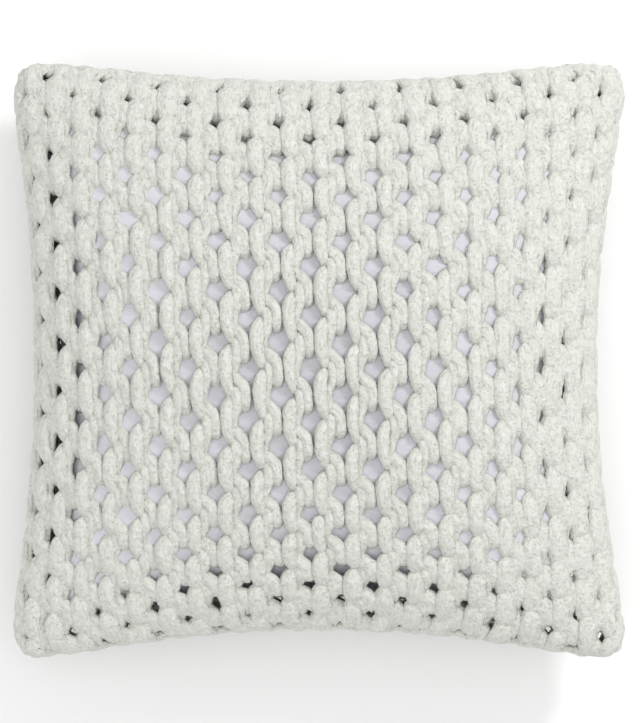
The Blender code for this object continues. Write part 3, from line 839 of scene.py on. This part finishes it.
for half in ("front", "back"):
    low, high = span("zip_tape_" + half)
    verts, faces = slab(low, high, TAPE_STEPS, (0, 2, 1), twill)
    tape = add_mesh(
        "tape_" + half, verts, faces, tape_paint.material, "cover",
        ("zip_tape_" + half,)
    )

    low, high = span("zip_teeth_" + half)
    share = np.linspace(0, 1, COIL_TURNS * COIL_STEPS + 1)
    turn = 2 * np.pi * COIL_TURNS * share
    reach = (high - low) / 2 - COIL_WIRE
    centre = (low + high) / 2
    around = np.stack([0 * turn, reach[1] * np.cos(turn), reach[2] * np.sin(turn)], axis=1)
    line = centre + around
    line[:, 0] = low[0] + COIL_WIRE + (high[0] - low[0] - 2 * COIL_WIRE) * share
    radii = np.full((1, len(line)), COIL_WIRE)
    group = tubes(line[None], around[None], radii, np.random.default_rng(5), 1.0)
    add_tubes(
        "coil_" + half, [group], coil_paint.material, "cover",
        ("zip_teeth_" + half,)
    )

    low, high = span("zip_stitch_" + half)
    starts = np.arange(low[0], high[0] - STITCH, STITCH + STITCH_GAP)
    share = np.linspace(0, 1, STITCH_STEPS + 1)
    x = starts[:, None] + STITCH * share
    rise = (high[1] - low[1] - 2 * STITCH_THREAD) * (1 - np.abs(2 * share - 1) ** 3)
    y = np.broadcast_to(high[1] - STITCH_THREAD - rise, x.shape)
    z = np.full_like(x, (low[2] + high[2]) / 2)
    line = np.stack([x, y, z], axis=-1)
    out = np.broadcast_to([0.0, -1.0, 0.0], line.shape)
    group = tubes(line, out, np.full(x.shape, STITCH_THREAD), np.random.default_rng(6), 1.0)
    add_tubes(
        "stitches_" + half, [group], thread_paint.material, "cover",
        ("zip_stitch_" + half,)
    )

# Stops, slider, bridge and pull: pressed and tumbled zinc alloy, satin bright.

SHARP_ANGLE = math.radians(50)
STOP_EDGE = 0.0005
ROUNDING = (-1.0, -0.7, 0.0)  # lines across a rounded edge, in radii from the block's face

metal_paint = Paint("satin_zinc", (0.72, 0.72, 0.70), 0.32, 0.9)
scratches = metal_paint.noise(metal_paint.stretched(metal_paint.place(), (1.0, 8.0, 8.0)), 700.0, 5.0)
metal_paint.feed("Roughness", 0.24 + scratches * 0.22)
metal_paint.feed("Base Color", metal_paint.blend(scratches, (0.62, 0.62, 0.60), (0.78, 0.78, 0.76)))
metal_paint.bump(scratches, 0.00008)


def rounded_block(low, high, radius):
    """A block between two corners with rounded edges."""
    half, centre = (high - low) / 2, (low + high) / 2
    verts, faces = [], []
    for axis in range(3):
        u, v = (axis + 1) % 3, (axis + 2) % 3
        lines = []
        for other in (u, v):
            border = half[other] + radius * np.array(ROUNDING)
            lines.append(np.sort(np.concatenate([-border, border])))
        for sign in (-1, 1):
            p, q = np.meshgrid(lines[0], lines[1], indexing="ij")
            point = np.zeros((*p.shape, 3))
            point[..., u], point[..., v], point[..., axis] = p, q, sign * half[axis]
            core = np.clip(point, radius - half, half - radius)
            away = point - core
            away /= np.linalg.norm(away, axis=-1, keepdims=True)
            index = np.arange(p.size).reshape(p.shape) + sum(len(block) for block in verts)
            verts.append((centre + core + radius * away).reshape(-1, 3))
            quads = np.stack([index[:-1, :-1], index[1:, :-1], index[1:, 1:], index[:-1, 1:]], -1)
            faces += quads.reshape(-1, 4)[:, ::sign].tolist()
    return np.concatenate(verts), faces


def add_metal(name, parts, body, node):
    """One metal object from several shapes, with the corners where faces meet welded."""
    verts, faces, start = [], [], 0
    for points, part_faces in parts:
        verts.append(points)
        faces += [[corner + start for corner in face] for face in part_faces]
        start += len(points)
    verts = np.concatenate(verts)
    _, first, weld = np.unique(np.round(verts, 7), axis=0, return_index=True, return_inverse=True)
    weld = weld.ravel()
    faces = [[int(weld[corner]) for corner in face] for face in faces]
    obj = add_mesh(name, verts[first], faces, metal_paint.material, body, (node,))
    obj.data.set_sharp_from_angle(angle=SHARP_ANGLE)
    return obj


for stop in ("zip_top_stop_front", "zip_top_stop_back", "zip_bottom_stop"):
    low, high = span(stop)
    add_metal(stop + "_clamp", [rounded_block(low, high, STOP_EDGE)], "cover", stop)


def pressed_plate(outline, low_y, high_y, edge):
    """A plate with broken edges. outline runs round (x, z) points, and edge is the bevel."""
    outline = np.array(outline)
    centre = outline.mean(axis=0)
    inner = outline - edge * np.sign(outline - centre)
    rings = ((inner, low_y), (outline, low_y + edge), (outline, high_y - edge), (inner, high_y))
    verts = [[x, y, z] for ring, y in rings for x, z in ring]
    count = len(outline)
    faces = [list(range(count))[::-1], [3 * count + k for k in range(count)]]
    for level in range(3):
        for k in range(count):
            after = (k + 1) % count
            base = level * count
            faces.append([base + k, base + after, base + count + after, base + count + k])
    return np.array(verts), faces


# The slider's body: two shield-shaped plates with lips that wrap the coils, joined by a web.

PLATE = 0.0010
PLATE_EDGE = 0.0002
SHIELD = ((-1, 0.80), (-0.75, 0.95), (0.10, 1.0), (0.65, 1.0), (1, 0.72))  # shares of half its size
LIP = 0.0010
LIP_START = 0.70  # shares of the half length
LIP_END = 0.65
LIP_GAP = 0.0006  # half the slot that the tapes pass through
WEB_BACK = 0.0012
WEB_FRONT = 0.0032
WEB_HALF = 0.00048
FUSED = PLATE * 0.6  # how deep the lips and the web start inside the plates
BLOCK_EDGE = 0.0003

low, high = span("zip_slider")
centre = (low + high) / 2
half = (high - low) / 2
shield = []
for share_x, share_z in SHIELD:
    shield.append((centre[0] + half[0] * share_x, centre[2] + half[2] * share_z))
shield += [(x, 2 * centre[2] - z) for x, z in reversed(shield)]
shield = shield[::-1]
body_parts = [
    pressed_plate(shield, low[1], low[1] + PLATE, PLATE_EDGE),
    pressed_plate(shield, high[1] - PLATE, high[1], PLATE_EDGE),
]
lip_low, lip_high = centre[1] - LIP_GAP, centre[1] + LIP_GAP
for sign in (-1, 1):
    outer_z = centre[2] + sign * half[2]
    z_pair = sorted((outer_z, outer_z - sign * LIP))
    for y_pair in ((low[1] + FUSED, lip_low), (lip_high, high[1] - FUSED)):
        corner = np.array([centre[0] - half[0] * LIP_START, y_pair[0], z_pair[0]])
        other = np.array([centre[0] + half[0] * LIP_END, y_pair[1], z_pair[1]])
        body_parts.append(rounded_block(corner, other, BLOCK_EDGE))
web_low = np.array([centre[0] - WEB_BACK, low[1] + FUSED, centre[2] - WEB_HALF])
web_high = np.array([centre[0] + WEB_FRONT, high[1] - FUSED, centre[2] + WEB_HALF])
body_parts.append(rounded_block(web_low, web_high, BLOCK_EDGE))
add_metal("slider_body", body_parts, "slider", "zip_slider")

# The bridge: a bent bar crimped on the slider, which the pull hangs on.

BRIDGE_BAR = 0.0005
BRIDGE_POINTS = 25
BRIDGE_SQUARENESS = 0.55  # 1 bends it in a half ellipse, and less makes it squarer
BRIDGE_FLATNESS = 1.35

low, high = span("zip_slider_bridge")
centre = (low + high) / 2
foot, top = high[1], low[1]
turn = np.linspace(0, np.pi, BRIDGE_POINTS)
bend = np.stack([-np.cos(turn), np.sin(turn)], axis=1)
bend = np.sign(bend) * np.abs(bend) ** BRIDGE_SQUARENESS
line = np.stack(
    [
        centre[0] + (high[0] - low[0] - 2 * BRIDGE_BAR) / 2 * bend[:, 0],
        foot + (top - foot + BRIDGE_BAR) * bend[:, 1],
        np.full(BRIDGE_POINTS, centre[2]),
    ],
    axis=1,
)
normal = np.tile([0.0, 0.0, 1.0], (BRIDGE_POINTS, 1))
radii = np.full((1, BRIDGE_POINTS), BRIDGE_BAR)
points, faces, _ = tubes(
    line[None], normal[None], radii, np.random.default_rng(7), BRIDGE_FLATNESS
)
add_metal("slider_bridge", [(points, faces)], "slider", "zip_slider_bridge")

# The pull tab: a pressed strip with a window for the bridge at its hinged end.

TAB_POINTS = 48
TAB_SQUARENESS = 5
WINDOW_NEAR = 0.0006  # from the hinge's middle to the window's ends
WINDOW_FAR = 0.0052
WINDOW_HALF = 0.00115
WINDOW_SQUARENESS = 4

low, high = span("zip_pull_tab")
centre = (low + high) / 2
half_bar = (high[1] - low[1]) / 2
hinge_x = high[0] - half_bar
around = np.linspace(0, 2 * np.pi, TAB_POINTS + 1)[:-1]


def rounded_ring(middle_x, half_x, half_z, squareness):
    """Points (x, z) of an outline between an ellipse, at squareness 2, and a rectangle."""
    c, s = np.cos(around), np.sin(around)
    power = 2 / squareness
    x = middle_x + half_x * np.sign(c) * np.abs(c) ** power
    return np.stack([x, centre[2] + half_z * np.sign(s) * np.abs(s) ** power], axis=1)


tab = rounded_ring(
    centre[0], (high[0] - low[0]) / 2, (high[2] - low[2]) / 2, TAB_SQUARENESS
)
window = rounded_ring(
    hinge_x - (WINDOW_NEAR + WINDOW_FAR) / 2, (WINDOW_FAR - WINDOW_NEAR) / 2, WINDOW_HALF,
    WINDOW_SQUARENESS
)
SECTION = (  # share from the outline to the window, and share of the half thickness
    (0.0, -0.6), (0.0, 0.6), (0.10, 1.0), (0.30, 1.0), (0.42, 0.72), (0.70, 0.72), (0.82, 1.0),
    (0.94, 1.0), (1.0, 0.6), (1.0, -0.6), (0.94, -1.0), (0.82, -1.0), (0.70, -0.72), (0.42, -0.72),
    (0.30, -1.0), (0.10, -1.0),
)
verts = []
for inward, thickness in SECTION:
    ring = tab + (window - tab) * inward
    y = np.full(len(ring), centre[1] + half_bar * thickness)
    verts.append(np.stack([ring[:, 0], y, ring[:, 1]], axis=1))
index = np.arange(len(SECTION) * len(around)).reshape(len(SECTION), -1)
further = np.roll(index, -1, 0)
quads = np.stack([index, further, np.roll(further, -1, 1), np.roll(index, -1, 1)], axis=-1)
add_metal(
    "pull_tab", [(np.concatenate(verts), quads.reshape(-1, 4).tolist())], "pull", "zip_pull_tab"
)


# ---------------------------------------------------------------------------------------------
# Care label: a blank strip of satin, folded double and caught in the bottom seam.

LABEL_STEPS = (120, 40)
RIB_DEPTH = 0.00002
RIB_PITCH = 0.0009
FOLD_DEPTH = 0.00022
FOLD_PART = 8  # the fold rounds off the last one of this many parts


def label_relief(along, across):
    """Fine satin ribs, rounded off at the folded end."""
    reach = (across - low[1]) / (high[1] - low[1])
    ribs = RIB_DEPTH * (1 + np.sin(2 * np.pi * along / RIB_PITCH))
    return ribs + FOLD_DEPTH * np.clip(reach * FOLD_PART - (FOLD_PART - 1), 0, 1) ** 2


low, high = span("care_label")
label_paint = Paint("label_satin", (0.88, 0.88, 0.88), 0.42)
sheen = label_paint.wave(label_paint.stretched(label_paint.place(), (1.0, 0.1, 1.0)), 500.0, "X")
label_paint.feed("Base Color", label_paint.blend(sheen, (0.82, 0.82, 0.82), (0.92, 0.92, 0.92)))
label_paint.bump(sheen, 0.0001)
verts, faces = slab(low, high, LABEL_STEPS, (0, 1, 2), label_relief)
label = add_mesh(
    "satin_label", verts, faces, label_paint.material, "cover", ("care_label",)
)
